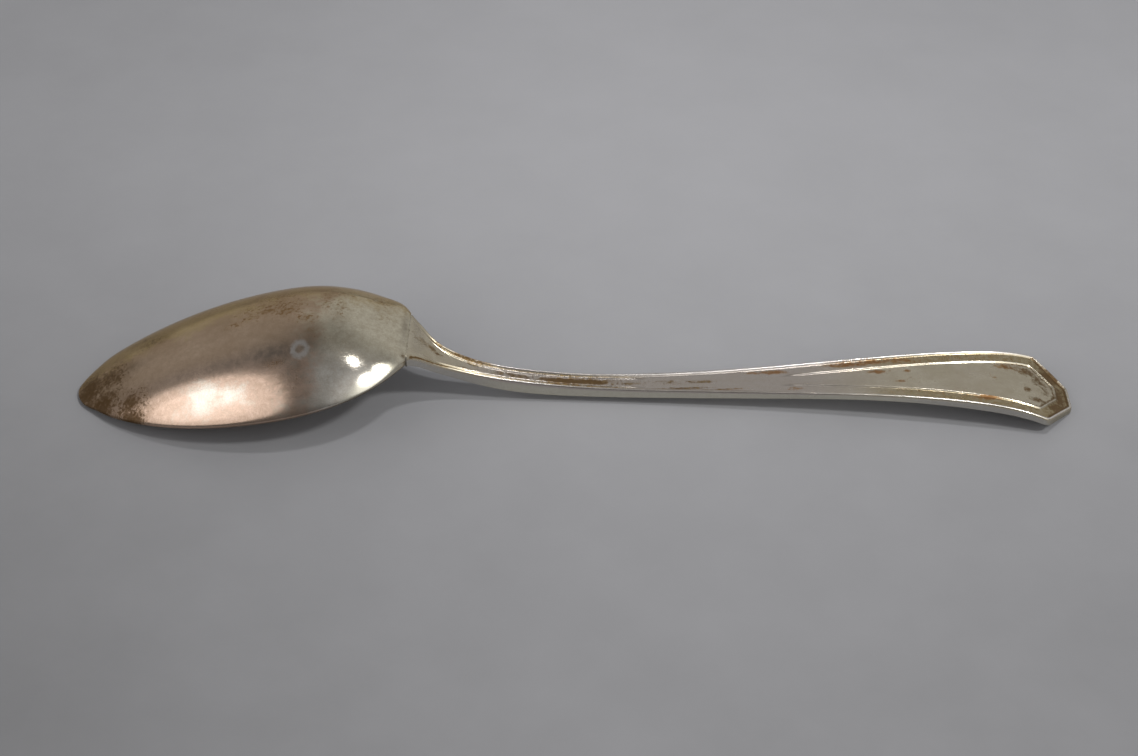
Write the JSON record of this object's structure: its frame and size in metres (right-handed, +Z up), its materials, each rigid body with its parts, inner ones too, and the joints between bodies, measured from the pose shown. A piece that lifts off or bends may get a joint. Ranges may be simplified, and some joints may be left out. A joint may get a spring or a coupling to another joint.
{
  "type": "serving spoon",
  "caption": "Metal serving spoon with a pointed oval bowl, a slim curved stem and a flat handle end with cut corners and a threaded border.",
  "frame": {"origin": "middle of the spoon's length and width, on the table that it lies on face down", "axes": "+X from the bowl's tip to the handle's end, +Y across the spoon, +Z up, out of the back of the bowl"},
  "size_m": [0.2102, 0.0418, 0.0227],
  "materials": {
    "bowl_plate": "silver plate on nickel silver, brown tarnish",
    "filler": "brazing filler, dark",
    "handle_plate": "silver plate on nickel silver, yellowed and worn"
  },
  "bodies": {
    "root": {"bowl": "bowl_plate", "brazed_seam": "filler", "handle": "handle_plate"}
  },
  "joints": []
}
